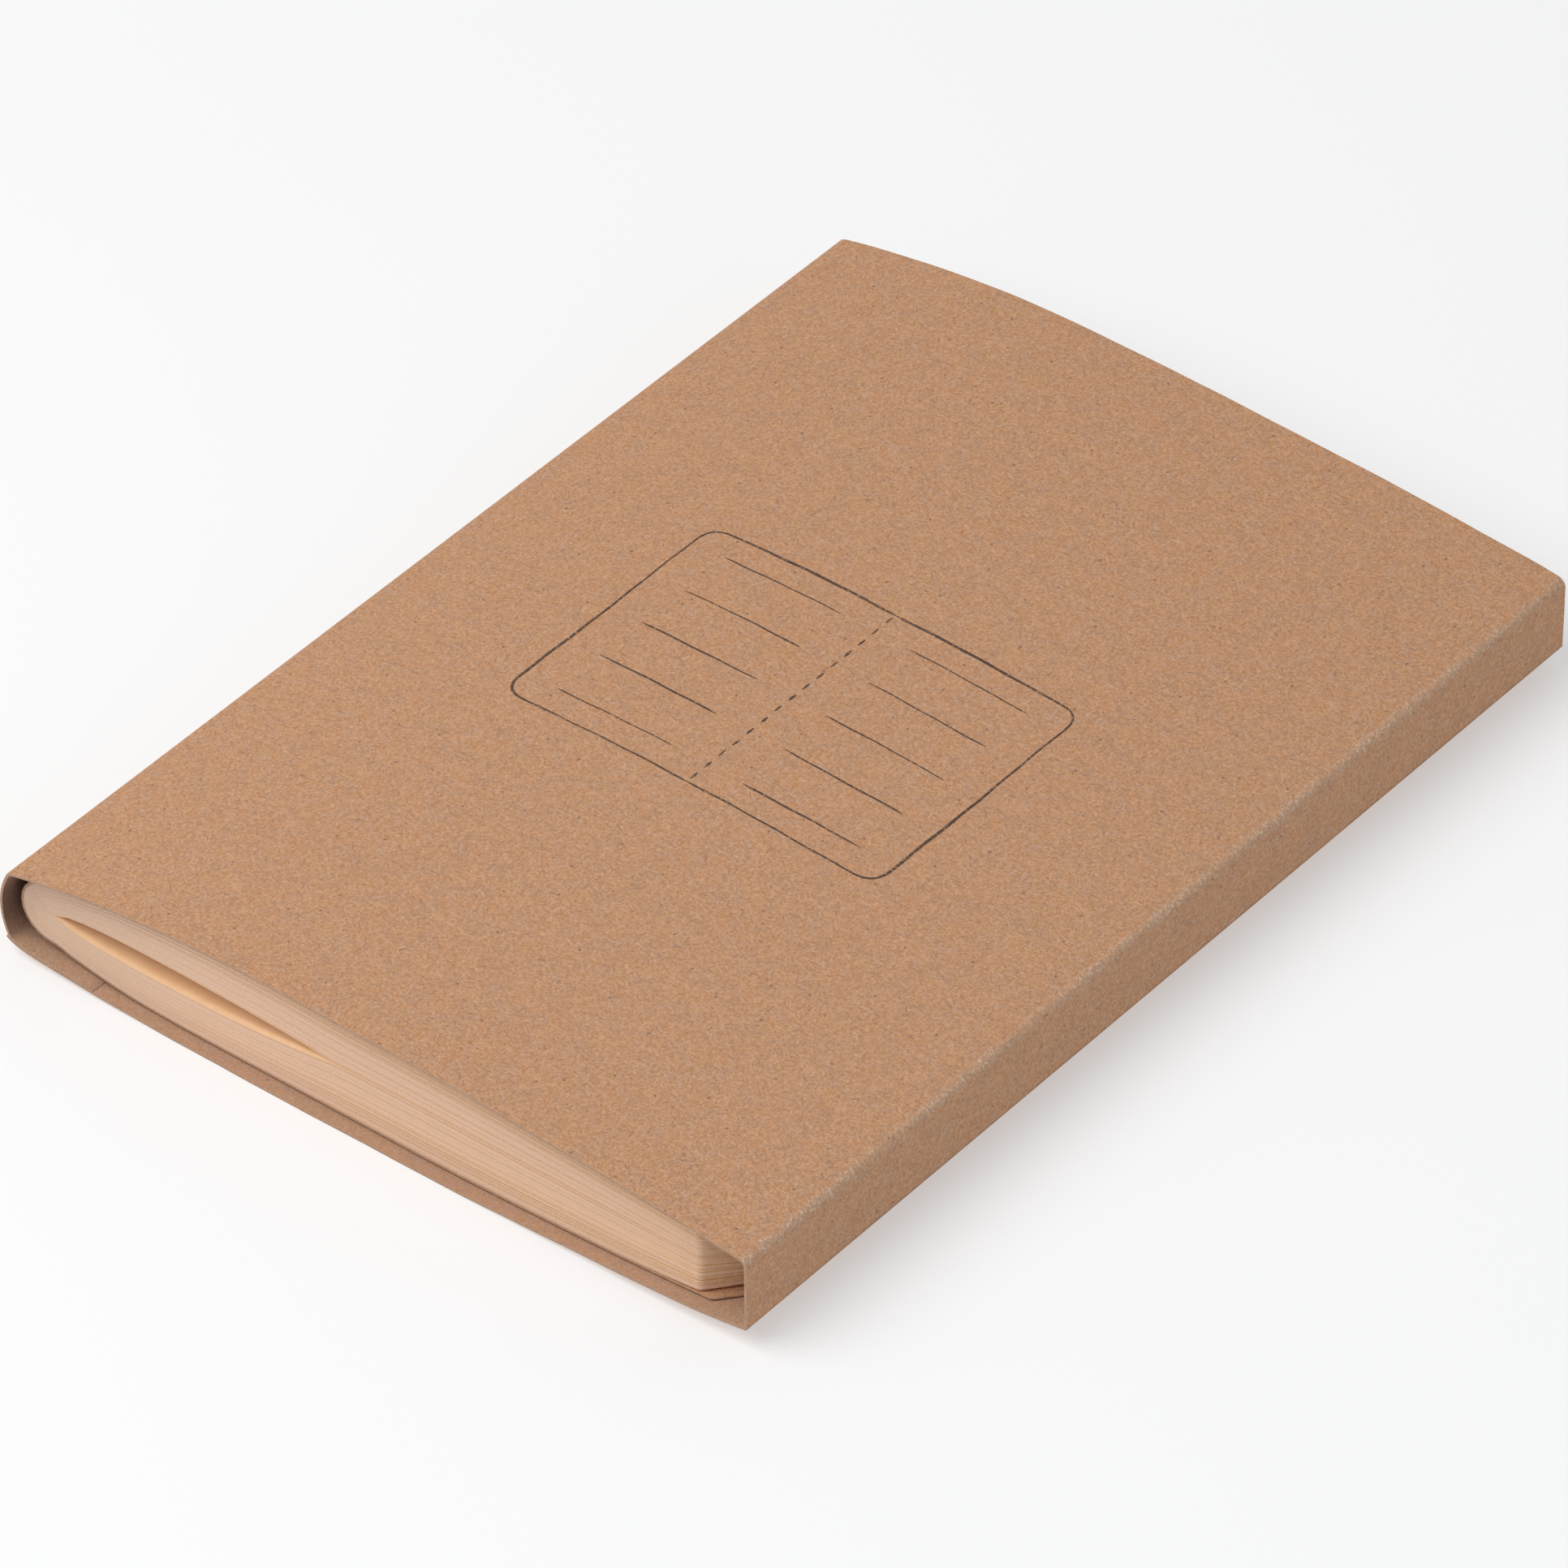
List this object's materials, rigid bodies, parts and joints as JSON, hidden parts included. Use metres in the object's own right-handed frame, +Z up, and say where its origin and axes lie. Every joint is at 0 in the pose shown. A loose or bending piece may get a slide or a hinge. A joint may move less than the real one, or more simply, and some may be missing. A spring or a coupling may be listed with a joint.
{
  "type": "pocket notebook",
  "caption": "Pocket notebook: a thread-sewn booklet of blank leaves in a kraft cover, sliding in a folded kraft card sleeve that is open at both ends.",
  "frame": {"origin": "centre of the footprint, on the face it rests on", "axes": "+X from the spine to the fore-edge, +Y from the tail to the head, +Z up through the top panel"},
  "size_m": [0.108, 0.1504, 0.0161],
  "materials": {
    "sleeve_card": "matt uncoated kraft card with dark and pale fibres",
    "cover_card": "matt uncoated kraft card, thinner than the sleeve",
    "paper": "matt uncoated cream paper",
    "thread": "twisted waxed thread"
  },
  "bodies": {
    "card_sleeve": {"sleeve": "sleeve_card"},
    "booklet": {"booklet_cover": "cover_card", "sewing_thread": "thread", "sheet_01": "paper", "sheet_02": "paper", "sheet_03": "paper", "sheet_04": "paper", "sheet_05": "paper", "sheet_06": "paper", "sheet_07": "paper", "sheet_08": "paper", "sheet_09": "paper", "sheet_10": "paper", "sheet_11": "paper", "sheet_12": "paper", "sheet_13": "paper", "sheet_14": "paper", "sheet_15": "paper", "sheet_16": "paper", "sheet_17": "paper", "sheet_18": "paper", "sheet_19": "paper", "sheet_20": "paper", "sheet_21": "paper", "sheet_22": "paper", "sheet_23": "paper", "sheet_24": "paper", "sheet_25": "paper", "sheet_26": "paper", "sheet_27": "paper", "sheet_28": "paper", "sheet_29": "paper", "sheet_30": "paper", "sheet_31": "paper", "sheet_32": "paper", "sheet_33": "paper", "sheet_34": "paper", "sheet_35": "paper", "sheet_36": "paper", "sheet_37": "paper", "sheet_38": "paper", "sheet_39": "paper", "sheet_40": "paper"}
  },
  "joints": [
    {"name": "booklet_slide", "type": "slide", "parent": "card_sleeve", "child": "booklet", "axis": [0, 1, 0], "range_m": [-0.1498, 0.1487]}
  ]
}
